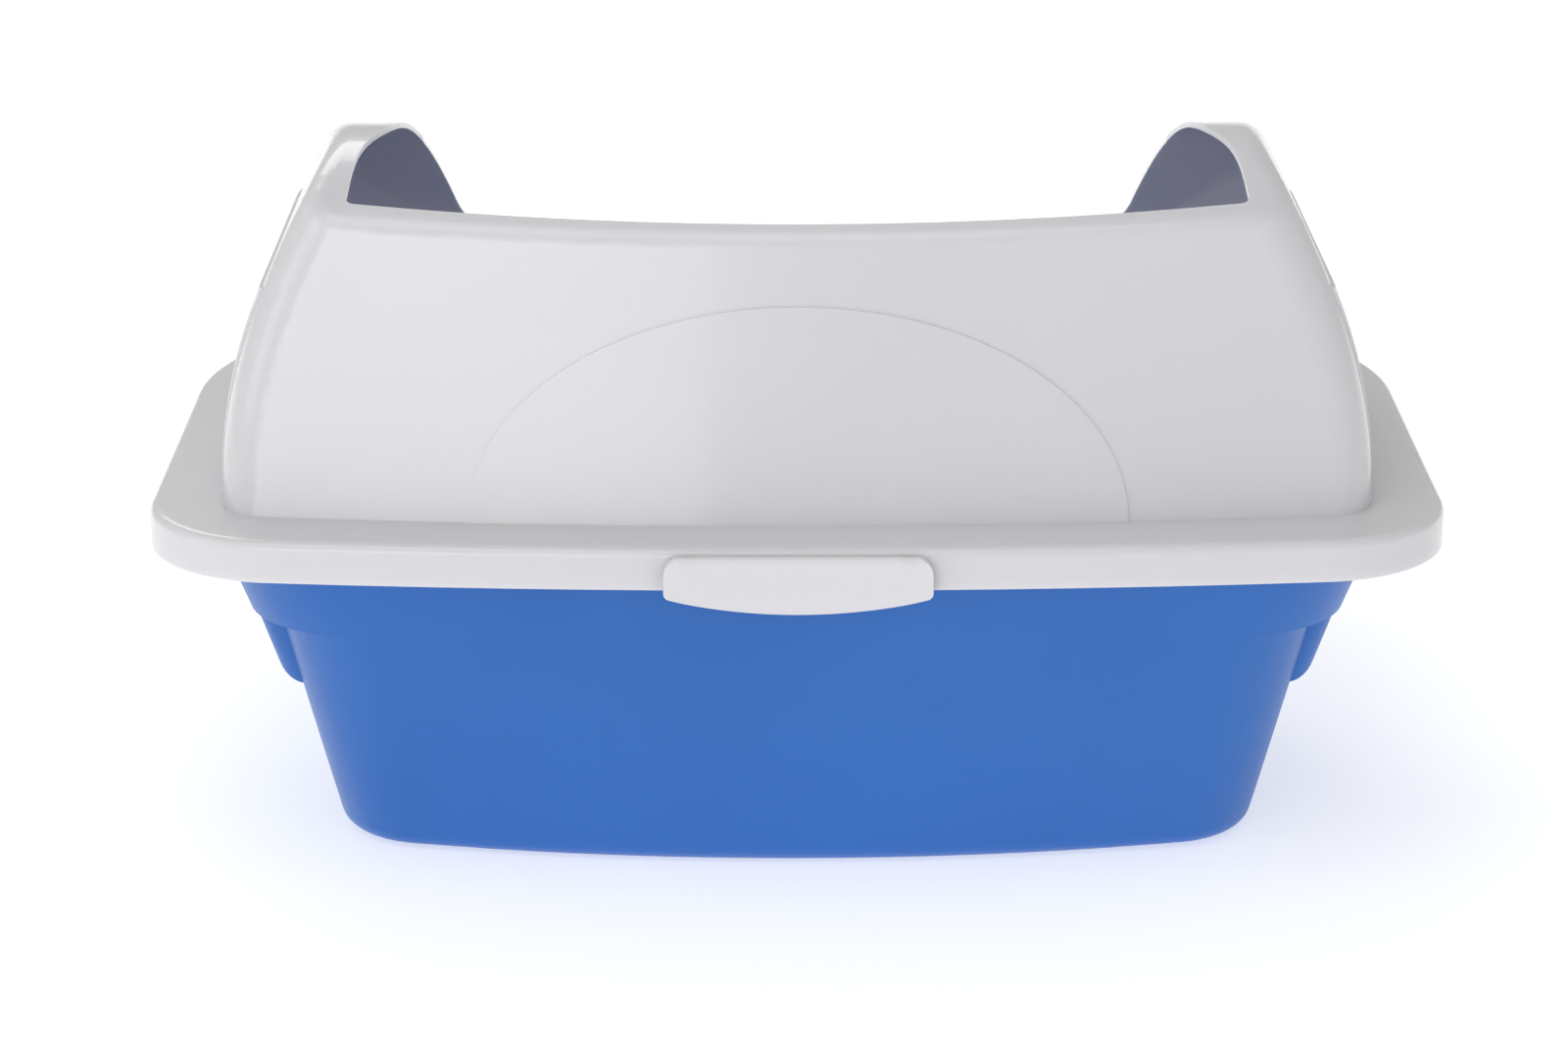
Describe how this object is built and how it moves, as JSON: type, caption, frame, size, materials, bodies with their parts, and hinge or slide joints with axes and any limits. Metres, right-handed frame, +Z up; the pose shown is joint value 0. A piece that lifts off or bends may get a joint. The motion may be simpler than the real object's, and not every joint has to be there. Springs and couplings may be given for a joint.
{
  "type": "cat litter box with hood",
  "caption": "Drafted litter pan with a wide flange, a glossy open-topped hood with a low rear entry, and snap latches on the rim.",
  "frame": {"origin": "middle of the whole part's footprint, on the floor under the pan", "axes": "+Z up, -Y towards the front latch and the embossed arc, +Y towards the cat's entry, +X along the long side"},
  "size_m": [0.56, 0.3914, 0.3157],
  "materials": {
    "pan_blue": "satin",
    "hood_white": "gloss",
    "latch_white": "gloss"
  },
  "bodies": {
    "pan": {"pan": "pan_blue"},
    "hood": {"hood": "hood_white"},
    "front_latch": {"front_latch": "latch_white"},
    "rear_latch": {"rear_latch": "latch_white"}
  },
  "joints": [
    {"name": "hood_lift", "type": "slide", "parent": "pan", "child": "hood", "axis": [0, 0, 1], "range_m": [0, 0.04]},
    {"name": "front_latch_hinge", "type": "hinge", "parent": "hood", "child": "front_latch", "pos_m": [0, -0.193, 0.1653], "axis": [-1, 0, 0], "range_deg": [0, 80]},
    {"name": "rear_latch_hinge", "type": "hinge", "parent": "hood", "child": "rear_latch", "pos_m": [0, 0.193, 0.1653], "axis": [1, 0, 0], "range_deg": [0, 80]}
  ],
  "couplings": [
    {"joint": "front_latch_hinge", "follows": "hood_lift", "rad_per_m": 34.9},
    {"joint": "rear_latch_hinge", "follows": "hood_lift", "rad_per_m": 34.9}
  ]
}
